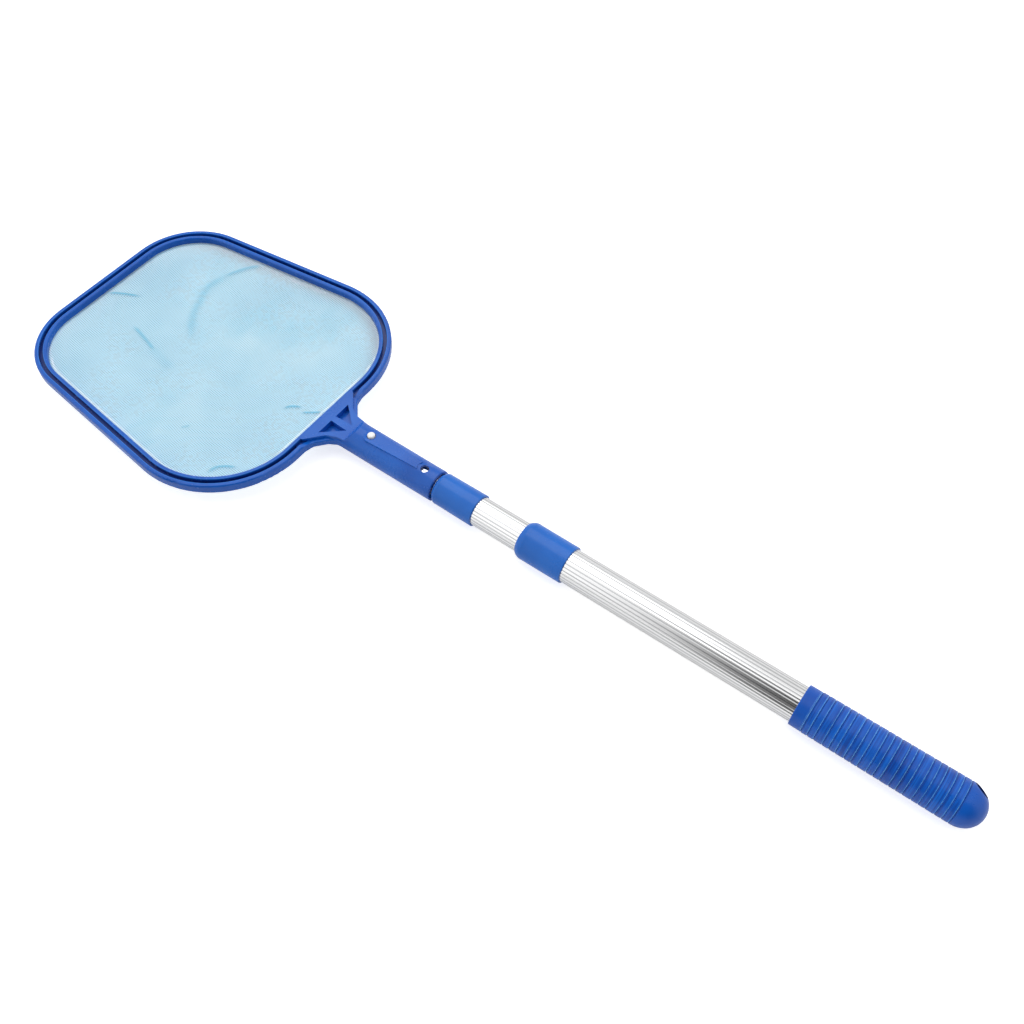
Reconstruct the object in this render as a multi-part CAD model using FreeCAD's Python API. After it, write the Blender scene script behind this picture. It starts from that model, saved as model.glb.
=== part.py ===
"""Leaf skimmer net: a shallow net head on a three-tube telescopic pole.

+X runs along the pole towards the net, +Z is up and square to the net, and Y is across it.
The origin is under the middle of the whole skimmer, on the surface that the grip lies on.
All lengths are in millimetres.
"""
import FreeCAD, Part
import math
import os

os.makedirs("parts", exist_ok=True)

# ---- pole line and stations along it -------------------------------------------------------
grip_r = 12.9             # grip radius at its domed end, which also sets the height of the pole
axis_z = grip_r           # height of the pole's centre line
grip_end_x = -332.0       # tip of the grip's dome
grip_front_x = -224.8     # mouth of the grip
grip_wall_x = -309.0      # face inside the grip that the outer tube stops on
outer_tube_x = (-308.0, -44.5)
outer_collar_x = (-72.8, -39.5)
middle_tube_x = (-291.0, 21.4)
middle_collar_x = (-5.7, 25.0)
tip_tube_x = (-258.0, 87.0)
mouth_x = 26.3            # mouth of the head's socket

# ---- tubes --------------------------------------------------------------------------------
wall = 0.8                # wall of each aluminium tube
outer_r = 11.0            # over the flutes
middle_r = 9.65
tip_r = 8.2
flute_depth = 0.16        # of the fine flutes down each tube
slide_gap = 0.3           # radial gap between a tube and the collar lip it slides in

# ---- collars ------------------------------------------------------------------------------
outer_collar_r = (12.08, 12.2)   # at the rear edge and where the rounded front starts
outer_collar_nose = 5.4   # length of the rounded front
outer_collar_seam = 2.0   # the collar's seam line is turned this far round the pole, in degrees
outer_lip = 5.0           # length of the guide lip in front of the outer tube
middle_collar_r = (10.75, 10.5)
middle_collar_nose = 3.5
middle_lip = 3.6

# ---- grip ---------------------------------------------------------------------------------
grip_front_r = 12.6       # at the first groove
grip_band_r = 12.45       # plain band at the mouth of the grip
grip_band = 7.8           # from the mouth to the first groove
ring_pitch = 3.87         # between the grooves of one group
group_pitch = 12.93       # from one group of three grooves to the next
ring_groove = (0.45, 0.42)   # half width and depth of one groove
hang_hole_x = -324.0
hang_hole_r = 4.4
hang_hole_turn = 50.0     # turned from straight up towards -Y, in degrees

# ---- twist locks --------------------------------------------------------------------------
plug_depth = 14.0         # length of the plug inside its tube
flange_t = 2.5
cam_len = 10.5            # length of the eccentric stub
cam_play = 0.3            # radial play of the split ring on its stub
washer_t = 1.2
screw_head = (3.5, 2.7)   # radius and height
screw_r = 1.5

# ---- net head -----------------------------------------------------------------------------
far_x = 327.6             # line of the channel along the far edge
rear_x = 116.8            # line of the channel along the rear edge
side_a = (187.8, 94.6)    # two points on the line of the channel along one side
side_b = (272.8, 84.6)
far_corner_r = 45.2
rear_corner_r = 60.2
ring_out = 4.4            # from the channel's line to the outside of the ring
ring_in = 4.1             # and to its inside
ring_top = axis_z + 5.1
ring_bottom = axis_z - 1.6
channel_half = 1.4
channel_depth = 3.4
step_depth = 2.6          # of the throat's flange below the ring's top
rim_end_y = (23.0, 30.5)  # the rim outside the channel slopes down between these half widths
plate_bottom = axis_z - 5.8
pocket_depth = 4.4
net_top = axis_z + 0.6    # height of the net at its edge
net_t = 0.8
net_dip = 3.2             # the net's middle hangs this far below its edge
socket_r = (10.45, 10.65)    # at the mouth and at the throat
socket_bore_r = tip_r + slide_gap
bore_end_x = 87.5
nose_x = (89.2, 95.2)     # where the socket's rounded front end starts and meets the plate

# ---- snap button --------------------------------------------------------------------------
button_x = 79.6
button_r = 2.55
button_top = axis_z + 12.6
second_hole_x = 36.4
second_hole_r = 2.8
land_half = (2.8, 5.0)    # half widths of the land on the socket's top, rear and front


def vec(x, y, z):
    return FreeCAD.Vector(x, y, z)


def export(shape, name):
    if len(shape.Solids) == 1:
        shape = shape.Solids[0]
    print(name, "valid" if shape.isValid() else "INVALID", len(shape.Solids), round(shape.Volume, 1))
    shape.exportStep("parts/" + name + ".step")


def cyl_x(x0, x1, r, dz=0.0):
    """Cylinder along the pole, its centre dz above the pole's line."""
    low = min(x0, x1)
    return Part.makeCylinder(r, abs(x1 - x0), vec(low, 0, axis_z + dz), vec(1, 0, 0))


def cyl_z(x, y, z0, z1, r):
    return Part.makeCylinder(r, z1 - z0, vec(x, y, z0), vec(0, 0, 1))


def block(x0, x1, y0, y1, z0, z1):
    return Part.makeBox(x1 - x0, y1 - y0, z1 - z0, vec(x0, y0, z0))


def edges_from(points):
    """Straight edges through (x, r) points; a point given as ("arc", middle, end) is an arc."""
    edges = []
    at = points[0]
    for p in points[1:]:
        if p[0] == "arc":
            mid, end = p[1], p[2]
            arc = Part.Arc(vec(at[0], 0, axis_z + at[1]), vec(mid[0], 0, axis_z + mid[1]),
                           vec(end[0], 0, axis_z + end[1]))
            edges.append(arc.toShape())
            at = end
        else:
            line = Part.LineSegment(vec(at[0], 0, axis_z + at[1]), vec(p[0], 0, axis_z + p[1]))
            edges.append(line.toShape())
            at = p
    return edges


def turned(points):
    """Solid of revolution about the pole's line from a closed run of (x, r) points."""
    face = Part.Face(Part.Wire(edges_from(points + [points[0]])))
    return face.revolve(vec(0, 0, axis_z), vec(1, 0, 0), 360)


def fluted_tube(span, r, count):
    """Tube with count shallow convex lobes round its outside and a plain round bore."""
    edges = []
    step = 2 * math.pi / count
    for i in range(count):
        ring = []
        for k, radius in ((0.0, r - flute_depth), (0.5, r), (1.0, r - flute_depth)):
            a = (i + k) * step
            ring.append(vec(span[0], radius * math.cos(a), axis_z + radius * math.sin(a)))
        edges.append(Part.Arc(ring[0], ring[1], ring[2]).toShape())
    outer = Part.Face(Part.Wire(edges)).extrude(vec(span[1] - span[0], 0, 0))
    return outer.cut(cyl_x(span[0] - 1, span[1] + 1, r - wall))


def side_y(x, d):
    """Half width of the outline at x, for an outline d outside the channel's line."""
    slope = (side_b[1] - side_a[1]) / (side_b[0] - side_a[0])
    return side_a[1] + slope * (x - side_a[0]) + d * math.sqrt(1 + slope * slope)


def outline(d, z):
    """Closed wire of the ring's rounded trapezoid, d outside the channel's line."""
    x_far = far_x + d
    x_rear = rear_x - d
    corners = [
        (x_far, side_y(x_far, d), far_corner_r + d),
        (x_rear, side_y(x_rear, d), rear_corner_r + d),
        (x_rear, -side_y(x_rear, d), rear_corner_r + d),
        (x_far, -side_y(x_far, d), far_corner_r + d),
    ]
    arcs = []
    for i, (cx, cy, r) in enumerate(corners):
        before = corners[i - 1]
        after = corners[(i + 1) % 4]
        u = vec(before[0] - cx, before[1] - cy, 0).normalize()
        v = vec(after[0] - cx, after[1] - cy, 0).normalize()
        half = math.acos(max(-1.0, min(1.0, u.dot(v)))) / 2
        at = vec(cx, cy, z)
        reach = r / math.tan(half)
        middle = (u + v).normalize()
        mid = at + middle * (r / math.sin(half) - r)
        arcs.append((at + u * reach, mid, at + v * reach))
    edges = []
    for i, (start, mid, end) in enumerate(arcs):
        edges.append(Part.Arc(start, mid, end).toShape())
        edges.append(Part.LineSegment(end, arcs[(i + 1) % 4][0]).toShape())
    return Part.Wire(edges)


def band(d_out, d_in, z0, z1):
    """Ring-shaped solid between two outlines."""
    outer = Part.Face(outline(d_out, z0)).extrude(vec(0, 0, z1 - z0))
    inner = Part.Face(outline(d_in, z0 - 1)).extrude(vec(0, 0, z1 - z0 + 2))
    return outer.cut(inner)


def slab(points, z0, z1):
    """Flat slab from (x, y) corners."""
    ring = [vec(x, y, z0) for x, y in points]
    return Part.Face(Part.makePolygon(ring + [ring[0]])).extrude(vec(0, 0, z1 - z0))


def edges_at(shape, z, test):
    found = []
    for e in shape.Edges:
        box = e.BoundBox
        if abs(box.ZMin - z) < 1e-4 and abs(box.ZMax - z) < 1e-4 and test(e):
            found.append(e)
    return found


def is_outside(e):
    """True for an edge on the outer half of the ring."""
    p = e.valueAt((e.FirstParameter + e.LastParameter) / 2)
    return not Part.Face(outline(0, 0)).isInside(vec(p.x, p.y, 0), 1e-3, True)


# ---- net ----------------------------------------------------------------------------------
def make_net():
    """Thin net: a flat border held in the ring, and a shallow dip inside it."""
    border = band(-2.9, -6.0, net_top - net_t, net_top)
    under = Part.makeLoft([outline(-5.6, net_top), outline(-40, net_top - net_dip)], True, True)
    over = under.copy()
    over.translate(vec(0, 0, net_t))
    lid = Part.Face(outline(0, net_top)).extrude(vec(0, 0, 10))
    dish = under.cut(over).cut(lid)
    return border.fuse(dish).removeSplitter()


# ---- net frame ----------------------------------------------------------------------------
def mirrored(half):
    """Closed run of (x, y) corners from one half of an outline."""
    return half + [(x, -y) for x, y in reversed(half)]


def eased(shape, radius, spots):
    """Rounds the upright edges that stand within 0.5 mm of the given (x, |y|) spots."""
    upright = []
    for e in shape.Edges:
        box = e.BoundBox
        if box.ZLength > 1 and box.XLength < 1e-4 and box.YLength < 1e-4:
            for x, y in spots:
                if math.hypot(box.XMin - x, abs(box.YMin) - y) < 0.5:
                    upright.append(e)
    return shape.makeFillet(radius, upright)


def beside_channel(e):
    """True for an edge along the top of the channel."""
    p = e.valueAt((e.FirstParameter + e.LastParameter) / 2)
    spot = vec(p.x, p.y, 0)
    near = Part.Face(outline(channel_half + 0.4, 0)).isInside(spot, 1e-3, True)
    return near and not Part.Face(outline(-channel_half - 0.4, 0)).isInside(spot, 1e-3, True)


def make_ring():
    ring = band(ring_out, -ring_in, ring_bottom, ring_top)
    ring = ring.makeFillet(1.3, edges_at(ring, ring_top, is_outside))
    ring = ring.makeFillet(1.3, edges_at(ring, ring_top, lambda e: not is_outside(e)))
    ring = ring.makeFillet(0.9, edges_at(ring, ring_bottom, is_outside))
    ring = ring.makeFillet(0.6, edges_at(ring, ring_bottom, lambda e: not is_outside(e)))
    ring = ring.cut(band(channel_half, -channel_half, ring_top - channel_depth, ring_top + 1))
    return ring.makeFillet(0.45, edges_at(ring, ring_top, beside_channel))


def make_throat():
    """Plate between the ring and the socket: a wide flange with a narrower step on top."""
    step_z = ring_top - step_depth
    inside = rear_x + ring_in - 0.8
    flange = slab(mirrored([(inside, 31.0), (112.9, 28.5), (111.4, 21.8), (102.6, 11.6),
                            (90.0, 10.6)]), ring_bottom, step_z)
    flange = eased(flange, 7.0, [(111.4, 21.8), (102.6, 11.6)])
    flange = flange.makeFillet(1.0, edges_at(flange, step_z, lambda e: 10 < abs(
        e.valueAt(e.FirstParameter).y) < 30 and 10 < abs(e.valueAt(e.LastParameter).y) < 30))
    step = slab(mirrored([(rear_x + ring_in - 1.7, 25.4), (117.0, 24.8), (107.6, 13.6),
                          (100.8, 10.5), (90.0, 9.0)]), step_z - 1.2, ring_top)
    step = eased(step, 8.0, [(107.6, 13.6)])
    keel = slab(mirrored([(inside, 14.0), (108.0, 12.4), (101.5, 8.6), (86.0, 8.6)]),
                plate_bottom, ring_bottom + 0.5)
    return flange.fuse(step).fuse(keel)


def make_socket():
    """Round socket with a blunt rounded front end, and a tapered land along its top."""
    mouth_r, front_r = socket_r
    plate_h = ring_top - axis_z
    socket = turned([(mouth_x, 0), (mouth_x, mouth_r - 0.4), (mouth_x + 0.4, mouth_r),
                     (97.5, front_r), (97.5, 0)])
    nose_a, nose_b = nose_x
    start = vec(nose_a, -40, axis_z + front_r)
    bend = vec(nose_a + 1.7, -40, axis_z + front_r - 0.75)
    face = vec(nose_a + 2.8, -40, axis_z + front_r - 2.0)
    foot = vec(nose_b, -40, axis_z + plate_h)
    cut = [Part.Arc(start, bend, face).toShape()]
    ring = [face, foot, vec(130, -40, axis_z + plate_h), vec(130, -40, axis_z + 30),
            vec(nose_a, -40, axis_z + 30), start]
    for p, q in zip(ring, ring[1:]):
        cut.append(Part.LineSegment(p, q).toShape())
    socket = socket.cut(Part.Face(Part.Wire(cut)).extrude(vec(0, 80, 0)))
    socket = socket.cut(block(90, 130, -20, 20, 0, plate_bottom))

    half_rear, half_front = land_half
    side = [(38.0, 4), (38.0, 10.72), (81.0, 11.1), (84.6, 10.5), (84.6, 4)]
    land = Part.Face(Part.makePolygon([vec(x, -10, axis_z + h) for x, h in side + [side[0]]]))
    land = land.extrude(vec(0, 20, 0))
    taper = slab(mirrored([(button_x, half_front), (39.0, half_rear)]), axis_z, axis_z + 20)
    land = land.common(taper.fuse(cyl_z(button_x, 0, axis_z, axis_z + 20, half_front)))
    land = land.cut(cyl_z(second_hole_x, 0, axis_z, axis_z + 20, second_hole_r + 2.2))
    return socket.fuse(land)


def make_frame(net):
    body = make_ring()
    step_z = ring_top - step_depth
    low_y, high_y = rim_end_y
    across = [(-low_y, step_z), (low_y, step_z), (high_y, ring_top), (high_y, 60), (-high_y, 60),
              (-high_y, ring_top), (-low_y, step_z)]
    open_step = Part.Face(Part.makePolygon([vec(100, y, z) for y, z in across]))
    body = body.cut(open_step.extrude(vec(rear_x + channel_half - 100, 0, 0))).fuse(make_throat()).fuse(make_socket())

    body = body.cut(cyl_x(mouth_x - 1, bore_end_x, socket_bore_r))
    lead_in = turned([(mouth_x - 1, 0), (mouth_x - 1, socket_bore_r + 1.0),
                      (mouth_x + 0.4, socket_bore_r), (mouth_x + 0.4, 0)])
    body = body.cut(lead_in)
    body = body.cut(cyl_z(button_x, 0, axis_z, axis_z + 15, button_r + 0.4))
    body = body.cut(cyl_z(second_hole_x, 0, axis_z, axis_z + 15, second_hole_r))
    for s in (1, -1):
        corner = [(112.4, s * 2.2), (112.4, s * 14.4), (98.9, s * 2.7)]
        body = body.cut(slab(corner, ring_top - pocket_depth, ring_top + 1))
    return body.cut(net).removeSplitter()


# ---- pole ---------------------------------------------------------------------------------
def make_outer_collar():
    x0, x1 = outer_collar_x
    stop = outer_tube_x[1]
    lip_r = middle_r + slide_gap
    rear_r, r = outer_collar_r
    nose = outer_collar_nose
    collar = turned([(x0, outer_r), (stop, outer_r), (stop, lip_r), (x1, lip_r), (x1, r - 1.8),
                     ("arc", (x1 - 1.5, r - 0.7), (x1 - nose, r)), (x0 + 0.3, rear_r),
                     (x0, rear_r - 0.3)])
    collar.rotate(vec(0, 0, axis_z), vec(1, 0, 0), outer_collar_seam)
    return collar


def make_middle_collar():
    x0, x1 = middle_collar_x
    stop = middle_tube_x[1]
    lip_r = tip_r + slide_gap
    rear_r, r = middle_collar_r
    nose = middle_collar_nose
    return turned([(x0, middle_r), (stop, middle_r), (stop, lip_r), (x1, lip_r), (x1, r - 1.3),
                   ("arc", (x1 - 0.9, r - 0.5), (x1 - nose, r)), (x0 + 0.3, rear_r),
                   (x0, rear_r - 0.3)])


def make_grip():
    """Ribbed hand grip: groups of three ring grooves, a round dome and a hanging hole."""
    dome_x = grip_end_x + grip_r
    points = [(grip_wall_x, 0), (grip_wall_x, outer_r), (grip_front_x, outer_r),
              (grip_front_x, grip_band_r - 0.4), (grip_front_x - 0.4, grip_band_r)]
    half, depth = ring_groove
    start = grip_front_x - grip_band
    points += [(start + half + 0.3, grip_band_r)]
    group = start
    while group > dome_x + 1.5:
        for k in range(3):
            x = group - k * ring_pitch
            if x - half > dome_x + 0.5:
                r = grip_front_r + (grip_r - grip_front_r) * (grip_front_x - x) / (grip_front_x - dome_x)
                points += [(x + half, r), (x, r - depth), (x - half, r)]
        group -= group_pitch
    slant = math.sqrt(0.5) * grip_r
    points += [(dome_x, grip_r), ("arc", (dome_x - slant, slant), (grip_end_x, 0))]
    grip = turned(points)
    turn = math.radians(hang_hole_turn)
    way = vec(0, -math.sin(turn), math.cos(turn))
    hole = Part.makeCylinder(hang_hole_r, 40, vec(hang_hole_x, 0, axis_z) - way * 20, way)
    return grip.cut(hole)


def twist_lock(name, tube_end, tube_r, bore_r, stub_r, lift):
    """Plug with an eccentric stub, split ring, washer and screw on the rear end of a tube.

    bore_r is the bore that the ring wedges in, and lift is the stub's eccentricity.
    """
    flange_x = tube_end - flange_t
    stub_end = flange_x - cam_len
    washer_end = stub_end - washer_t
    head_end = washer_end - screw_head[1]
    shank_x = tube_end + 4.0

    plug = cyl_x(tube_end, tube_end + plug_depth, tube_r - wall)
    plug = plug.fuse(cyl_x(flange_x, tube_end, tube_r - 0.1))
    plug = plug.fuse(cyl_x(stub_end, flange_x, stub_r, lift))
    plug = plug.cut(cyl_x(stub_end - 1, shank_x, screw_r, lift)).removeSplitter()

    ring_r = bore_r - slide_gap
    ring = cyl_x(stub_end + 0.2, flange_x - 0.2, ring_r)
    ring = ring.cut(cyl_x(stub_end - 1, flange_x + 1, stub_r + cam_play, lift))
    for x in (stub_end + 3.4, stub_end + 7.1):
        rib = turned([(x - 0.5, ring_r - 0.5), (x + 0.5, ring_r - 0.5), (x + 0.5, ring_r + 1),
                      (x - 0.5, ring_r + 1)])
        ring = ring.cut(rib)
    ring = ring.cut(block(stub_end - 1, flange_x + 1, -1.25, 1.25, axis_z - 20, axis_z))

    washer = cyl_x(washer_end, stub_end, stub_r + 1.7, lift)
    washer = washer.cut(cyl_x(washer_end - 1, stub_end + 1, screw_r, lift))
    head_r, head_h = screw_head
    screw = cyl_x(washer_end, shank_x, screw_r, lift)
    pan = cyl_x(head_end, washer_end, head_r, lift)
    rim = [e for e in pan.Edges if abs(e.BoundBox.XMax - head_end) < 1e-4]
    screw = screw.fuse(pan.makeFillet(0.9, rim))
    for wide, tall in ((2.2, 0.35), (0.35, 2.2)):
        cross = block(head_end - 1, head_end + 1.3, -wide, wide, axis_z + lift - tall,
                      axis_z + lift + tall)
        screw = screw.cut(cross)

    export(plug, name + "_plug")
    export(ring, name + "_cam")
    export(washer, name + "_washer")
    export(screw.removeSplitter(), name + "_screw")


# ---- snap button and its spring -----------------------------------------------------------
def make_button():
    """Domed button on a round foot that bears on the inside of the tip tube."""
    foot = axis_z + 5.35
    barrel = cyl_z(button_x, 0, foot, button_top, button_r)
    rim = [e for e in barrel.Edges if abs(e.BoundBox.ZMin - button_top) < 1e-4]
    barrel = barrel.makeFillet(1.2, rim)
    return barrel.fuse(cyl_z(button_x, 0, foot, foot + 0.8, 3.9)).removeSplitter()


def make_spring():
    """Flat leaf bent back on itself inside the tip tube, 5 mm wide and 0.5 mm thick."""
    t = 0.5
    half = 2.5
    upper = axis_z + 5.35 - t / 2
    lower = axis_z - 6.9 + t / 2
    line = [(84.0, upper), (74.5, upper), (50.5, axis_z - 2.2), (49.2, axis_z - 3.6),
            (50.3, axis_z - 4.9), (60.0, lower), (80.0, lower)]
    spring = None
    for (xa, za), (xb, zb) in zip(line, line[1:]):
        length = math.hypot(xb - xa, zb - za)
        leaf = Part.makeBox(length, 2 * half, t, vec(0, -half, -t / 2))
        leaf.rotate(vec(0, 0, 0), vec(0, 1, 0), -math.degrees(math.atan2(zb - za, xb - xa)))
        leaf.translate(vec(xa, 0, za))
        spring = leaf if spring is None else spring.fuse(leaf)
    for x, z in line[1:-1]:
        bend = Part.makeCylinder(t / 2, 2 * half, vec(x, -half, z), vec(0, 1, 0))
        spring = spring.fuse(bend)
    return spring.removeSplitter()


net = make_net()
export(net, "net_mesh")
export(make_frame(net), "net_frame")
export(fluted_tube(outer_tube_x, outer_r, 30), "outer_tube")
export(fluted_tube(middle_tube_x, middle_r, 28), "middle_tube")
tip_tube = fluted_tube(tip_tube_x, tip_r, 24)
export(tip_tube.cut(cyl_z(button_x, 0, axis_z, axis_z + 15, button_r + 0.3)), "tip_tube")
export(make_outer_collar(), "outer_collar")
export(make_middle_collar(), "middle_collar")
export(make_grip(), "grip")
twist_lock("middle", middle_tube_x[0], middle_r, outer_r - wall, 6.2, 0.8)
twist_lock("tip", tip_tube_x[0], tip_r, middle_r - wall, 5.0, 0.8)
export(make_button(), "snap_button")
export(make_spring(), "button_spring")
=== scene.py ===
"""Leaf skimmer net: materials, the cloth net, the button's spring and the studio.

Everything is in the frame's own metres: +X runs along the pole towards the net, +Z is up and
square to the net, and Y is across it. A length in millimetres becomes metres through MM.
"""
import math

import bpy
import numpy as np
from mathutils import Matrix, Vector


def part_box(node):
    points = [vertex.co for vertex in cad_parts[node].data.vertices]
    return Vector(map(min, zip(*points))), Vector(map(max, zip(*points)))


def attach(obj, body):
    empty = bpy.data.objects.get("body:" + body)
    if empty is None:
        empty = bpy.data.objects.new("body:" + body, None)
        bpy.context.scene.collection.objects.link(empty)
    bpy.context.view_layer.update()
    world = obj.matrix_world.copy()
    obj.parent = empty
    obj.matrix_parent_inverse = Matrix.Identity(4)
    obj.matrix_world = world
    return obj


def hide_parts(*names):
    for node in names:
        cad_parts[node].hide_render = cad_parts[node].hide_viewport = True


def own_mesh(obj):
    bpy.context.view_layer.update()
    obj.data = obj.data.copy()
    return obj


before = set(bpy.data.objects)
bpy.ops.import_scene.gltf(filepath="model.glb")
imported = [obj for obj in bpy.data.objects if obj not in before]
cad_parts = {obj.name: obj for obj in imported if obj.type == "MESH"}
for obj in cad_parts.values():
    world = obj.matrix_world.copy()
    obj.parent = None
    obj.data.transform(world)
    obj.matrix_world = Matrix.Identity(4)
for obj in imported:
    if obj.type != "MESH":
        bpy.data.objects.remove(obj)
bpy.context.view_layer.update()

MM = 0.001

# ---- pole and grip --------------------------------------------------------------------------
grip_low, grip_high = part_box("grip")
AXIS_Z = (grip_low.z + grip_high.z) / 2        # height of the pole's centre line
GRIP_FRONT = grip_high.x                       # mouth of the grip
GRIP_BAND = 7.8                                # mm, from the mouth to the first ring groove
RING_PITCH = 3.87                              # mm, between the grooves of one group
GROUP_PITCH = 12.93                            # mm, from one group of three grooves to the next
GROUP_LEAD, GROUP_END = 1.3, 9.4               # mm, how far a group's colours reach in front of its first
#                                                groove and behind it
RIBBED = (-1.05, 86.35)                        # mm behind the first groove, where all the groups lie
HOLE_X = -324.0 * MM                           # the grip's hanging hole
HOLE_R = 4.4                                   # mm
HOLE_TURN = math.radians(50.0)                 # its axis is turned this far from +Z towards -Y
OUTER_R, MIDDLE_R, TIP_R = 11.0, 9.65, 8.2     # mm, radii of the three tubes over their flutes
FLUTE_DIP = (0.155, 0.045)                     # mm below that radius: painted shade full at the first, none at the second

# ---- net head -------------------------------------------------------------------------------
RING_TOP = AXIS_Z + 5.1 * MM
NET_TOP = AXIS_Z + 0.5 * MM                    # height of the net at its edge
FAR_X, REAR_X = 327.6, 116.8                   # mm, the channel's line along the far and rear edges
SIDE_A, SIDE_B = (187.8, 94.6), (272.8, 84.6)  # mm, two points on its line along one side
FAR_R, REAR_R = 45.2, 60.2                     # mm, its corner radii
PLATE_HALF = (24 * MM, 30 * MM)                # half widths between which the channel starts beside the
#                                                throat's plate
PLATE_FRONT = (200 * MM, 210 * MM)             # stations well past that plate


# ---- node helpers ---------------------------------------------------------------------------
class Nodes:
    """A node tree, with short calls for the nodes that the materials and the tent use."""

    def __init__(self, tree):
        self.tree = tree

    def node(self, kind, inputs=None, **props):
        made = self.tree.nodes.new(kind)
        for key, value in props.items():
            setattr(made, key, value)
        for key, value in (inputs or {}).items():
            self.feed(made.inputs[key], value)
        return made

    def feed(self, socket, value):
        """Links an output to the socket, or sets the socket's own value."""
        if isinstance(value, bpy.types.NodeSocket):
            self.tree.links.new(value, socket)
        else:
            socket.default_value = value

    def math(self, operation, a, b=0.0, c=0.0):
        return self.node("ShaderNodeMath", {0: a, 1: b, 2: c}, operation=operation).outputs[0]

    def plus(self, a, b):
        return self.math("ADD", a, b)

    def minus(self, a, b):
        return self.math("SUBTRACT", a, b)

    def times(self, first, *others):
        for other in others:
            first = self.math("MULTIPLY", first, other)
        return first

    def most(self, first, *others):
        for other in others:
            first = self.math("MAXIMUM", first, other)
        return first

    def size(self, value):
        return self.math("ABSOLUTE", value)

    def length(self, a, b):
        """Length of the plane vector (a, b)."""
        return self.math("SQRT", self.plus(self.times(a, a), self.times(b, b)))

    def in_mm(self, value):
        return self.math("DIVIDE", value, MM)

    def split(self, vector):
        parts = self.node("ShaderNodeSeparateXYZ", {0: vector}).outputs
        return parts["X"], parts["Y"], parts["Z"]

    def step(self, value, low, high, start=0.0, end=1.0):
        """Smooth step of value from start at low to end at high."""
        made = self.node("ShaderNodeMapRange", {"Value": value, "From Min": low, "From Max": high,
                                                "To Min": start, "To Max": end})
        made.interpolation_type = "SMOOTHSTEP"
        return made.outputs["Result"]

    def seen(self):
        """1 where the camera looks straight at the surface, 0 for light on its way elsewhere."""
        return self.node("ShaderNodeLightPath").outputs["Is Camera Ray"]


class Graph(Nodes):
    """A new material's node tree, with the textures that vary over the object."""

    def __init__(self, name):
        self.mat = bpy.data.materials.new(name)
        self.mat.use_nodes = True
        super().__init__(self.mat.node_tree)
        self.shader = self.tree.nodes["Principled BSDF"]
        self.place = self.node("ShaderNodeTexCoord").outputs["Object"]

    def put(self, **inputs):
        """Sets or links the shader's own sockets; an underscore stands for a space."""
        for key, value in inputs.items():
            self.feed(self.shader.inputs[key.replace("_", " ")], value)

    def mark(self, name):
        """A value that the mesh carries at its points."""
        return self.node("ShaderNodeAttribute", attribute_name=name).outputs["Fac"]

    def stretch(self, x, y, z):
        """The object's coordinates scaled along each axis."""
        return self.node("ShaderNodeMapping", {"Vector": self.place, "Scale": (x, y, z)}).outputs[0]

    def noise(self, scale, detail=2.0, rough=0.5, at=None, out="Fac"):
        made = self.node("ShaderNodeTexNoise", {"Vector": at or self.place, "Scale": scale,
                                                "Detail": detail, "Roughness": rough})
        return made.outputs[out]

    def ramp(self, value, stops):
        made = self.node("ShaderNodeValToRGB", {0: value})
        points = made.color_ramp.elements
        while len(points) < len(stops):
            points.new(0.5)
        for point, (at, colour) in zip(points, stops):
            point.position = at
            point.color = (*colour, 1)
        return made.outputs["Color"]

    def mix(self, share, a, colour):
        """Colour a with that share of another colour laid over it."""
        made = self.node("ShaderNodeMix", data_type="RGBA")
        self.feed(made.inputs[0], share)
        for index, value in ((6, a), (7, colour)):
            self.feed(made.inputs[index], (*value, 1) if isinstance(value, tuple) else value)
        return made.outputs[2]

    def bump(self, height, strength, depth):
        inputs = {"Height": height, "Strength": strength, "Distance": depth}
        return self.node("ShaderNodeBump", inputs).outputs[0]

    def vector(self, operation, a, inputs):
        made = self.node("ShaderNodeVectorMath", {0: a, **inputs}, operation=operation)
        return made.outputs[0]


def grey(v):
    return (v, v, v)


def add_object(name, data):
    made = bpy.data.objects.new(name, data)
    bpy.context.scene.collection.objects.link(made)
    return made


# ---- blue mouldings -------------------------------------------------------------------------
COLLAR_BLUES = [(0.3, (0.0045, 0.116, 0.500)), (0.5, (0.0055, 0.136, 0.570)),
                (0.72, (0.0080, 0.158, 0.630))]
HEAD_BLUES = [(0.3, (0.0030, 0.082, 0.430)), (0.5, (0.0040, 0.102, 0.500)),
              (0.72, (0.0060, 0.126, 0.570))]
GRIP_BLUES = [(0.3, (0.0012, 0.076, 0.440)), (0.7, (0.0035, 0.115, 0.580))]
COLLAR_SPECK = (0.012, 0.120, 0.470)
CHANNEL_PAINTED_HIGHLIGHT = (0.030, 0.230, 0.800)           # painted highlight along the channel's edges
CHANNEL_PAINTED_SHADE = (0.0010, 0.019, 0.170)          # painted shade down in the channel
RIB_SCUFFED = (0.012, 0.20, 0.82)              # streaks round the grip
RIB_SHADED = (0.001, 0.03, 0.24)
GROOVE_PAINTED_HIGHLIGHT = (0.20, 0.55, 0.98)               # painted highlight and shade on a groove's front and rear walls
GROOVE_PAINTED_SHADE = (0.001, 0.022, 0.200)
# painted shade inside the grip's hanging hole
HOLE_PAINTED_SHADE = (0.001, 0.010, 0.090)


def moulded(g, colour, low, high):
    """Finishes a moulded blue: fine orange peel, and a gloss that wanders from low to high."""
    g.put(Base_Color=colour, IOR=1.5, Specular_IOR_Level=0.36)
    wear = g.plus(g.times(g.noise(420, 2), 0.45), g.times(g.noise(70, 3), 0.55))
    g.put(Roughness=g.ramp(wear, [(0.35, grey(low)), (0.65, grey(high))]))
    g.put(Normal=g.bump(g.noise(1000, 2), 0.05, 0.1 * MM))


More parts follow.
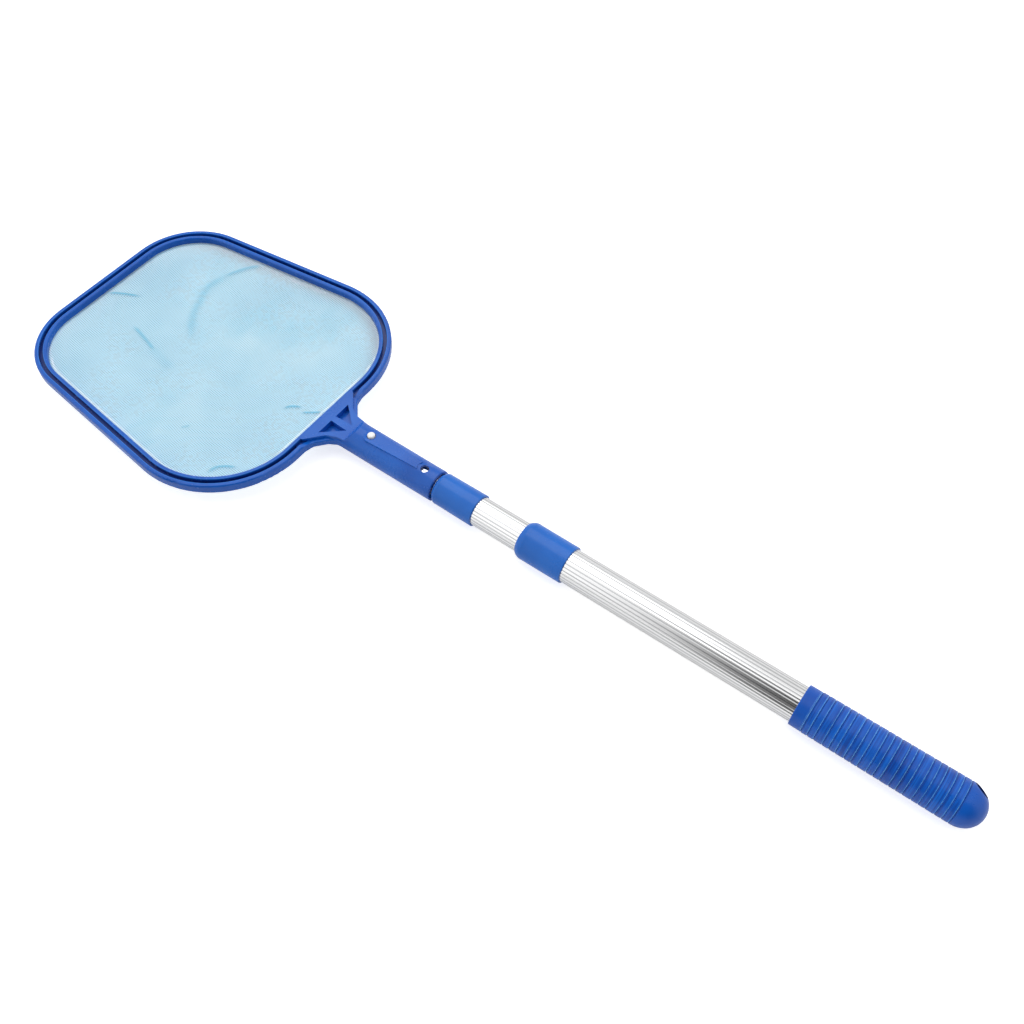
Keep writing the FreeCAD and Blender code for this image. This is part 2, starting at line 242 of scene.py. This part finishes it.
def collar_plastic():
    """Smooth moulded blue with faint dull specks."""
    g = Graph("frame_blue_moulded")
    colour = g.ramp(g.noise(30, 3), COLLAR_BLUES)
    speck = g.step(g.noise(2600, 1), 0.62, 0.8, 0, 0.12)
    moulded(g, g.mix(speck, colour, COLLAR_SPECK), 0.20, 0.30)
    return g.mat


def off_channel(g, x, y):
    """Distance in mm from the line of the ring's channel: straight runs and four round corners."""
    y = g.size(y)
    run = math.dist(SIDE_A, SIDE_B)
    out_x, out_y = (SIDE_A[1] - SIDE_B[1]) / run, (SIDE_B[0] - SIDE_A[0]) / run

    def along(from_x, from_y, way_x, way_y):
        """Distance from a point, in mm, measured along a direction."""
        part = g.times(g.minus(x, from_x * MM), way_x)
        return g.math("MULTIPLY_ADD", g.minus(y, from_y * MM), way_y, part)

    line = along(*SIDE_A, out_x, out_y)
    for end_x, way in ((FAR_X, 1), (REAR_X, -1)):
        line = g.most(line, along(end_x, 0, way, 0))
    for end_x, way, r in ((FAR_X, 1, FAR_R), (REAR_X, -1, REAR_R)):
        centre_x = end_x - way * r
        centre_y = SIDE_A[1] - (out_x * (centre_x - SIDE_A[0]) + r) / out_y
        from_x, from_y = along(centre_x, centre_y, 1, 0), along(centre_x, centre_y, 0, 1)
        beyond = g.math("GREATER_THAN", along(centre_x, centre_y, way * out_y, -way * out_x), 0.0)
        beyond = g.times(beyond, g.math("GREATER_THAN", from_y, 0.0))
        swap = g.minus(g.minus(g.length(from_x, from_y), r * MM), line)
        line = g.math("MULTIPLY_ADD", swap, beyond, line)
    return g.in_mm(g.size(line))


def frame_plastic():
    """Moulded blue of the net frame: painted highlights beside its channel, painted shade down in it."""
    g = Graph("head_blue_moulded")
    x, y, z = g.split(g.place)
    colour = g.ramp(g.noise(30, 3), HEAD_BLUES)
    drop = g.in_mm(g.minus(RING_TOP, z))
    off = off_channel(g, x, y)
    # painted highlight along the channel's top edges, kept off the throat's plate
    painted_edge_highlight = g.times(g.step(off, 1.2, 1.45), g.step(off, 1.8, 2.2, 1, 0), g.step(drop, 0.3, 1.0, 1, 0))
    off_plate = g.most(g.step(g.size(y), *PLATE_HALF), g.step(x, *PLATE_FRONT))
    colour = g.mix(g.times(painted_edge_highlight, off_plate, 0.5), colour, CHANNEL_PAINTED_HIGHLIGHT)
    # painted shade down in the channel
    painted_channel_shade = g.times(g.step(drop, 0.5, 3.0), g.step(off, 1.5, 2.2, 1, 0), 0.85)
    moulded(g, g.mix(painted_channel_shade, colour, CHANNEL_PAINTED_SHADE), 0.20, 0.30)
    return g.mat


def in_hole(g, x, y, z):
    """1 on the wall of the grip's hanging hole, 0 elsewhere."""
    up = g.minus(z, AXIS_Z)
    side = g.plus(g.times(y, math.cos(HOLE_TURN)), g.times(up, math.sin(HOLE_TURN)))
    off = g.in_mm(g.length(side, g.minus(x, HOLE_X)))
    return g.step(off, HOLE_R + 0.02, HOLE_R + 0.12, 1, 0)


def grip_plastic():
    """Bright blue streaked round its ribs, with painted highlight and shade on a groove's two walls."""
    g = Graph("grip_blue_ribbed")
    x, y, z = g.split(g.place)
    back = g.in_mm(g.minus(GRIP_FRONT - GRIP_BAND * MM, x))
    ribbed = g.times(g.step(back, RIBBED[0] - 0.15, RIBBED[0] + 0.15),
                     g.step(back, RIBBED[1] - 0.15, RIBBED[1] + 0.15, 1, 0))
    in_group = g.minus(g.math("MODULO", g.plus(back, GROUP_LEAD), GROUP_PITCH), GROUP_LEAD)
    grooved = g.times(g.step(in_group, GROUP_END - 0.2, GROUP_END + 0.2, 1, 0), ribbed)
    count = g.math("DIVIDE", in_group, RING_PITCH)
    off = g.times(g.minus(count, g.math("ROUND", count)), RING_PITCH)
    across = g.math("MULTIPLY_ADD", g.times(off, grooved), 0.5, 0.5)

    colour = g.ramp(g.noise(45, 3), GRIP_BLUES)
    streak = g.noise(800, 2, 0.6, at=g.stretch(1, 0.03, 0.03))
    scuffed = g.times(ribbed, g.step(streak, 0.52, 0.66, 0, 0.40))
    colour = g.mix(scuffed, colour, RIB_SCUFFED)
    shaded = g.times(ribbed, g.step(streak, 0.36, 0.48, 0.45, 0))
    colour = g.mix(shaded, colour, RIB_SHADED)
    # painted highlight on one wall of each groove, broken up by noise
    lines = g.ramp(across, [(0.14, grey(0)), (0.32, grey(1)), (0.48, grey(0))])
    broken = g.step(g.noise(500, 2), 0.3, 0.7, 0.45, 1)
    colour = g.mix(g.times(lines, broken, 0.95), colour, GROOVE_PAINTED_HIGHLIGHT)
    # painted shade on the other wall of each groove
    painted_wall_shade = g.ramp(across, [(0.48, grey(0)), (0.64, grey(1)), (0.95, grey(0))])
    colour = g.mix(g.times(painted_wall_shade, 0.8), colour, GROOVE_PAINTED_SHADE)
    # painted shade on the wall of the hanging hole
    colour = g.mix(g.times(in_hole(g, x, y, z), 0.9), colour, HOLE_PAINTED_SHADE)
    moulded(g, colour, 0.26, 0.40)
    return g.mat


# ---- metal and white plastic ----------------------------------------------------------------
def fluted_aluminium(name, radius):
    """Bright anodised tube: drawn lines along it, and painted shade in the valleys of its flutes."""
    g = Graph(name)
    _, y, z = g.split(g.place)
    reach = g.in_mm(g.length(y, g.minus(z, AXIS_Z)))
    crest = g.step(reach, radius - FLUTE_DIP[0], radius - FLUTE_DIP[1])
    drawn = g.noise(2400, 2, at=g.stretch(0.004, 1, 1))
    cloud = g.noise(60, 2, at=g.stretch(0.3, 1, 1))
    metal = g.ramp(drawn, [(0.3, (0.80, 0.805, 0.815)), (0.7, (0.90, 0.902, 0.905))])
    metal = g.mix(g.times(cloud, 0.2), metal, (0.88, 0.88, 0.88))
    # grey in the flute valleys: painted shade
    g.put(Base_Color=g.mix(crest, (0.40, 0.405, 0.42), metal), Metallic=1.0)
    g.put(Roughness=g.ramp(drawn, [(0.3, grey(0.12)), (0.7, grey(0.22))]))
    g.put(Normal=g.bump(drawn, 0.06, 0.06 * MM))
    return g.mat


def white_plastic(name, low, high, rough):
    """Off-white moulding that wanders between two colours."""
    g = Graph(name)
    g.put(Base_Color=g.ramp(g.noise(260, 3), [(0.3, low), (0.7, high)]), IOR=1.49)
    g.put(Roughness=g.ramp(g.noise(500, 2), [(0.3, grey(rough)), (0.7, grey(rough + 0.12))]))
    g.put(Normal=g.bump(g.noise(1500, 2), 0.08, 0.1 * MM))
    return g.mat


def bright_steel():
    """Rolled spring steel, with its rolling lines along the pole."""
    g = Graph("spring_steel_bright")
    rolled = g.noise(1800, 2, at=g.stretch(0.03, 1, 1))
    g.put(Base_Color=g.ramp(rolled, [(0.3, (0.50, 0.51, 0.53)), (0.7, (0.68, 0.69, 0.70))]))
    g.put(Metallic=1.0, Roughness=g.ramp(rolled, [(0.3, grey(0.22)), (0.7, grey(0.38))]))
    g.put(Normal=g.bump(rolled, 0.1, 0.05 * MM))
    return g.mat


# ---- netting --------------------------------------------------------------------------------
WEAVE_PITCH = 1.35 * MM                        # from one thread to the next
WEAVE_TURN = 0.16                              # of the weave from the pole's line, in radians
WEAVE_PULL = 6 * MM                            # how far the threads wander from straight
NET_BLUES = [(0.30, (0.28, 0.55, 0.71)), (0.52, (0.35, 0.62, 0.77)), (0.72, (0.44, 0.68, 0.80))]
NET_STREAK = (0.16, 0.50, 0.68)
# painted shadow of the ring on the cloth
RING_SHADOW_GREY = (0.26, 0.34, 0.41)
FOLD_BLUE = (0.003, 0.37, 0.58)
RIM_WHITE = (0.86, 0.94, 0.98)


def threads(g):
    """1 on the threads of a square weave that wanders a little, down to 0 in its holes."""
    pull = g.vector("SUBTRACT", g.noise(14, 2, out="Color"), {1: (0.5, 0.5, 0.5)})
    moved = g.vector("ADD", g.place, {1: g.vector("SCALE", pull, {"Scale": WEAVE_PULL})})
    turned = g.node("ShaderNodeMapping", {"Vector": moved, "Rotation": (0, 0, WEAVE_TURN)})
    ways = []
    for along in g.split(turned.outputs[0])[:2]:
        wave = g.size(g.math("SINE", g.times(along, math.pi / WEAVE_PITCH)))
        ways.append(g.step(wave, 0.50, 0.92, 1, 0))
    return g.most(*ways)


def net_cloth():
    """Fine square-woven netting: closed and deeper in its folds, white along its edge."""
    g = Graph("net_blue_woven")
    fold, rim, painted_ring_shadow = g.mark("fold"), g.mark("rim"), g.mark("painted_ring_shadow")
    cloud = g.noise(16, 3)
    slub = g.step(g.noise(340, 1), 0.36, 0.64, -0.16, 0.16)
    patchy = g.step(g.noise(24, 2), 0.40, 0.60)
    cover = g.plus(threads(g), g.times(slub, patchy))
    cover = g.most(cover, g.times(fold, 0.95), g.times(rim, 0.95), g.step(cloud, 0.35, 0.7, 0.42, 0.55))

    colour = g.ramp(cloud, NET_BLUES)
    streak = g.noise(11, 4, 0.6, at=g.stretch(1.4, 0.8, 1))
    colour = g.mix(g.step(streak, 0.50, 0.72, 0, 0.45), colour, NET_STREAK)
    # painted shadow of the ring on the cloth, along its -Y side and far edge
    colour = g.mix(g.times(painted_ring_shadow, 0.8), colour, RING_SHADOW_GREY)
    colour = g.mix(fold, colour, FOLD_BLUE)
    colour = g.mix(rim, colour, RIM_WHITE)
    g.put(Base_Color=colour, Roughness=g.step(cover, 0, 1, 0.75, 0.5), Alpha=cover)
    g.put(Specular_IOR_Level=0.25)
    g.put(Normal=g.bump(cover, 0.3, 0.1 * MM))
    return g.mat


# ---- net, whose shape is worked out in mm ---------------------------------------------------
NET_INSET = 3.4                                # the net's edge lies this far inside the channel's line
EDGE_GAP = 1.15                                # between the mesh's points along the edge
NET_RINGS = 82                                 # rings of points from the middle to the edge
RING_CROWD = 0.92                              # below 1, the rings lie closer towards the edge
DIP = 3.1                                      # of the net's middle below its edge
SLACK = 0.55                                   # height of the cloth's loose waves
SAG_REACH = (2, 54)                            # from the edge to where the sag starts and is full
WAVE_REACH = (3, 21)                           # the same for the waves
FOLD_REACH = (0.8, 2.3)                        # and for the folds

# Folds in the cloth: points along each, height, half width, and depth of colour from 0 to 1.
FOLDS = [
    ([(322.0, 5.4), (314.0, -0.7), (302.8, -7.4)], 1.3, 1.1, 0.90),
    ([(285.4, 14.9), (271.0, 18.5), (255.5, 22.9)], 1.0, 1.3, 0.75),
    ([(262.0, 22.0), (248.0, 24.5), (234.0, 28.0)], 0.5, 4.0, 0.20),
    ([(251.9, -81.0), (260.5, -71.3), (268.9, -57.3)], 1.1, 1.7, 0.70),
    ([(266.5, -62.0), (270.6, -48.0), (269.2, -37.5), (258.7, -16.7), (244.1, 0.0)], 0.9, 3.6, 0.50),
    ([(149.0, 8.9), (145.9, 5.2), (139.6, 1.7)], 1.2, 1.0, 1.00),
    ([(136.4, 5.5), (131.0, 2.4), (123.2, -2.9)], 1.2, 1.0, 1.00),
    ([(150.6, 77.4), (148.1, 69.8), (138.7, 63.3)], 1.4, 1.1, 0.95),
    ([(191.9, 60.3), (188.4, 55.6)], 0.6, 0.9, 0.55),
]


def side_y(x, d):
    """Half width at x of the outline that runs d outside the channel's line."""
    slope = (SIDE_B[1] - SIDE_A[1]) / (SIDE_B[0] - SIDE_A[0])
    return SIDE_A[1] + slope * (x - SIDE_A[0]) + d * math.sqrt(1 + slope * slope)


def corner_arc(at, before, after, r, gap):
    """Points about gap apart on the arc of radius r that rounds the corner at."""
    u, v = (before - at).normalized(), (after - at).normalized()
    half = math.acos(u.dot(v)) / 2
    middle = at + (u + v).normalized() * (r / math.sin(half))
    start = at + u * (r / math.tan(half)) - middle
    end = at + v * (r / math.tan(half)) - middle
    turn = math.copysign(math.pi - 2 * half, start.cross(end))
    count = max(2, round(abs(turn) * r / gap))
    arc = []
    for k in range(count + 1):
        c, s = math.cos(turn * k / count), math.sin(turn * k / count)
        arc.append(middle + Vector((start.x * c - start.y * s, start.x * s + start.y * c)))
    return arc


def outline(d, gap):
    """Points about gap apart round the ring's outline, d outside the channel's line."""
    far, rear = FAR_X + d, REAR_X - d
    corners = [Vector((x, side * side_y(x, d))) for x, side in ((far, 1), (rear, 1), (rear, -1), (far, -1))]
    radii = [FAR_R + d, REAR_R + d, REAR_R + d, FAR_R + d]
    arcs = []
    for i, (corner, r) in enumerate(zip(corners, radii)):
        arcs += corner_arc(corner, corners[i - 1], corners[(i + 1) % 4], r, gap)
    points = []
    for i, p in enumerate(arcs):
        q = arcs[(i + 1) % len(arcs)]
        count = max(1, round((q - p).length / gap))
        for k in range(count):
            points.append(p + (q - p) * (k / count))
    return np.array([(p.x, p.y) for p in points])


def near_line(p, line):
    """Distance from each point to a line, and how far along it the nearest place is, from 0 to 1."""
    best = np.full(len(p), np.inf)
    share = np.zeros(len(p))
    spans = [math.dist(a, b) for a, b in zip(line, line[1:])]
    done = 0.0
    for a, b, span in zip(line, line[1:], spans):
        a, b = np.array(a), np.array(b)
        t = np.clip(((p - a) @ (b - a)) / span ** 2, 0, 1)
        d = np.linalg.norm(p - (a + t[:, None] * (b - a)), axis=1)
        closer = d < best
        best = np.where(closer, d, best)
        share = np.where(closer, (done + t * span) / sum(spans), share)
        done += span
    return best, share


def smooth_line(line):
    """A finer line through the given points, on a Catmull-Rom curve."""
    if len(line) < 3:
        return line
    before = tuple(2 * a - b for a, b in zip(line[0], line[1]))
    after = tuple(2 * a - b for a, b in zip(line[-1], line[-2]))
    run = [np.array(p) for p in [before, *line, after]]
    fine = []
    for p0, p1, p2, p3 in zip(run, run[1:], run[2:], run[3:]):
        for k in range(8):
            t = k / 8
            fine.append(tuple(0.5 * (2 * p1 + (p2 - p0) * t + (2 * p0 - 5 * p1 + 4 * p2 - p3) * t ** 2
                                     + (3 * p1 - p0 - 3 * p2 + p3) * t ** 3)))
    return fine + [tuple(line[-1])]


def rise(values, start, end):
    """0 up to start and 1 from end on; start may be the larger of the two."""
    return np.clip((values - start) / (end - start), 0, 1)


def bell(values, half):
    return np.exp(-(values / half) ** 2)


def waves(x, y):
    """Gentle loose waves of the cloth, between about -1 and 1."""
    return (0.42 * np.sin(x / 17.0 + 0.7 * np.sin(y / 23.0)) * np.cos(y / 29.0 + 0.4)
            + 0.28 * np.sin(y / 13.0 + x / 31.0) + 0.20 * np.cos((x + y) / 11.0 + 1.3))


def from_edge(flat, edge):
    """Distance from each point to the nearest point of the edge, worked out in batches."""
    away = np.full(len(flat), np.inf)
    batch = 40
    for start in range(0, len(edge), batch):
        gaps = flat[:, None, :] - edge[None, start:start + batch, :]
        away = np.minimum(away, np.linalg.norm(gaps, axis=2).min(axis=1))
    return away


def drape(flat, away):
    """Height of the cloth above its edge, and how strongly each point is folded."""
    z = -DIP * (1 - (1 - rise(away, *SAG_REACH)) ** 2.2)
    z += waves(flat[:, 0], flat[:, 1]) * SLACK * rise(away, *WAVE_REACH)
    fold = np.zeros(len(flat))
    for line, height, half, depth in FOLDS:
        d, share = near_line(flat, smooth_line(line))
        taper = np.clip(np.minimum(share, 1 - share) * 5 + 0.15, 0, 1)
        z += height * taper * bell(d, half) * rise(away, *FOLD_REACH)
        fold = np.maximum(fold, depth * taper * bell(d, half * 0.9))
    return z, fold


def rim_and_ring_shadow(x, y, away):
    """How white the cloth is along its edge, and how grey the painted shadow of the ring makes it.

    The white line stands further in along the rear edge and the +Y side. The painted shadow of the
    ring shows along the -Y side and in the middle of the far edge.
    """
    rear = rise(x, REAR_X + 14, REAR_X + 6)
    near = 0.75 * rise(y, 62, 74)
    rim_at = 0.9 + np.maximum(4.6 * rear, 2.2 * near)
    rim = (0.45 + 0.5 * np.maximum(rear, near)) * bell(away - rim_at, 0.60)
    long_side = rise(y, -30, -70) * rise(x, 320, 290)
    far_side = rise(x, 318, 326) * rise(y, -50, -30) * rise(y, 45, 15)
    return rim, long_side * bell(away - 2, 6.0) + far_side * bell(away - 2, 3.0)


def net_faces(count):
    """Quads between rings of count points, outermost ring last, and a fan to the middle point."""
    faces = []
    for i in range(NET_RINGS - 1):
        for j in range(count):
            k = (j + 1) % count
            faces.append((i * count + j, (i + 1) * count + j, (i + 1) * count + k, i * count + k))
    centre = NET_RINGS * count
    return faces + [(centre, j, (j + 1) % count) for j in range(count)]


def make_net():
    """The cloth net: its outline filled with rings of points, which sag, wave and fold."""
    edge = outline(-NET_INSET, EDGE_GAP)
    middle = edge.mean(axis=0)
    shares = np.linspace(0, 1, NET_RINGS + 1)[1:] ** RING_CROWD
    flat = np.concatenate([middle + (edge - middle) * s for s in shares] + [middle[None, :]])
    away = from_edge(flat, edge)
    z, fold = drape(flat, away)
    rim, painted_ring_shadow = rim_and_ring_shadow(flat[:, 0], flat[:, 1], away)

    verts = [(x * MM, y * MM, NET_TOP + h * MM) for (x, y), h in zip(flat, z)]
    mesh = bpy.data.meshes.new("net_cloth")
    mesh.from_pydata(verts, [], net_faces(len(edge)))
    for name, values in (("fold", fold), ("rim", rim), ("painted_ring_shadow", painted_ring_shadow)):
        layer = mesh.attributes.new(name, "FLOAT", "POINT")
        layer.data.foreach_set("value", values.astype(np.float32))
    mesh.validate()
    mesh.shade_smooth()
    net = add_object("net_cloth", mesh)
    mesh.materials.append(net_cloth())
    if sum(p.normal.z for p in mesh.polygons) < 0:
        mesh.flip_normals()

    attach(net, "tip")
    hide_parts("net_mesh")


# ---- button spring --------------------------------------------------------------------------
def make_spring(material):
    """The bent leaf under the button, carried on the tip."""
    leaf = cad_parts["button_spring"].data.copy()
    leaf.name = "button_leaf"
    leaf.materials.clear()
    leaf.materials.append(material)
    spring = add_object("button_leaf", leaf)
    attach(spring, "tip")
    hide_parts("button_spring")
    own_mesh(spring)


# ---- studio ---------------------------------------------------------------------------------
CAMERA_AT = (-0.25113, 0.30399, 0.56864)
CAMERA_RIGHT = (-0.80821, -0.58889, 0.00112)   # direction of the picture's right-hand side
CAMERA_AHEAD = (0.33726, -0.46443, -0.81888)   # direction that the camera looks in
SENSOR, LENS = 36.0, 38.8863                   # mm, width of the sensor and focal length
FLOOR_HALF = 6.0                               # half the floor's side
FLOOR_GLOW, FLOOR_WHITE = 0.22, 0.50           # glow of the floor, and what the camera adds to it
TENT_NEAR, TENT_FAR = 1.25, 0.84               # brightness of the tent's +Y and -Y sides
OPENING_DARK = 0.95                            # share of the tent's light missing in its opening
TENT_WHITE = 4.0                               # added where the camera sees the tent itself
KEY_AT, KEY_AIM = (0.45, -0.40, 1.20), (0.05, 0, 0)
KEY_SIZE, KEY_WATTS = (0.90, 1.26), 5.0


def facing(at, right, back):
    """Placement at a point, looking away from back, with right to its right."""
    turn = Matrix((right, back.cross(right), back)).transposed().to_4x4()
    return Matrix.Translation(at) @ turn


def add_camera():
    data = bpy.data.cameras.new("camera")
    data.sensor_width = SENSOR
    data.lens = LENS
    data.clip_start = 0.01
    data.clip_end = 50.0
    camera = add_object("camera", data)
    right, back = Vector(CAMERA_RIGHT).normalized(), -Vector(CAMERA_AHEAD).normalized()
    camera.matrix_world = facing(CAMERA_AT, right, back)
    bpy.context.scene.camera = camera


def add_floor():
    """Plain white paper under the object."""
    mesh = bpy.data.meshes.new("floor")
    s = FLOOR_HALF
    mesh.from_pydata([(-s, -s, 0), (s, -s, 0), (s, s, 0), (-s, s, 0)], [], [(0, 1, 2, 3)])
    floor = add_object("floor", mesh)
    g = Graph("floor_paper")
    g.put(Base_Color=g.ramp(g.noise(3, 2), [(0.3, grey(0.70)), (0.7, grey(0.72))]), Roughness=0.9)
    glow = g.math("MULTIPLY_ADD", g.seen(), FLOOR_WHITE, FLOOR_GLOW)
    g.put(Emission_Color=(1.0, 1.0, 1.0, 1), Emission_Strength=glow)
    mesh.materials.append(g.mat)


def add_key():
    """One large soft light, high on the -Y side and past the head."""
    data = bpy.data.lights.new("key", "AREA")
    data.shape = "RECTANGLE"
    data.size, data.size_y = KEY_SIZE
    data.energy = KEY_WATTS
    lamp = add_object("key", data)
    back = (Vector(KEY_AT) - Vector(KEY_AIM)).normalized()
    right = (Vector((1, 0, 0)) - back * back.x).normalized()
    lamp.matrix_world = facing(KEY_AT, right, back)


def add_tent():
    """White tent round it all, dimmer on the -Y side, with a dark opening on +Y towards the grip."""
    world = bpy.data.worlds.new("tent")
    bpy.context.scene.world = world
    world.use_nodes = True
    sky = Nodes(world.node_tree)
    x, y, z = sky.split(sky.node("ShaderNodeTexCoord").outputs["Generated"])
    opening = sky.times(sky.step(x, 0.06, 0.26, 1, 0), sky.step(y, 0.02, 0.34, 0, 1),
                        sky.step(z, 0.90, 0.99, 1, 0))
    level = sky.times(sky.step(y, -0.7, 0.5, TENT_FAR, TENT_NEAR),
                      sky.minus(1.0, sky.times(opening, OPENING_DARK)))
    level = sky.plus(level, sky.times(sky.seen(), TENT_WHITE))
    background = world.node_tree.nodes["Background"]
    sky.feed(background.inputs["Strength"], level)
    sky.feed(background.inputs["Color"], (1.0, 1.0, 1.0, 1))


# ---- build ----------------------------------------------------------------------------------
collar_blue = collar_plastic()
lock_white = white_plastic("lock_white_moulded", (0.76, 0.76, 0.72), (0.86, 0.86, 0.83), 0.4)
steel = bright_steel()
looks = {
    "net_frame": frame_plastic(),
    "outer_collar": collar_blue,
    "middle_collar": collar_blue,
    "grip": grip_plastic(),
    "outer_tube": fluted_aluminium("tube_aluminium_outer", OUTER_R),
    "middle_tube": fluted_aluminium("tube_aluminium_middle", MIDDLE_R),
    "tip_tube": fluted_aluminium("tube_aluminium_tip", TIP_R),
    "snap_button": white_plastic("button_white_gloss", (0.86, 0.86, 0.86), (0.93, 0.93, 0.93), 0.12),
    "button_spring": steel,
}
for end in ("middle", "tip"):
    looks[end + "_plug"] = looks[end + "_cam"] = lock_white
    looks[end + "_washer"] = looks[end + "_screw"] = steel
for name, material in looks.items():
    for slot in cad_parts[name].material_slots:
        slot.material = material

make_net()
make_spring(steel)
add_camera()
add_floor()
add_tent()
add_key()
bpy.context.scene.view_settings.view_transform = "Standard"
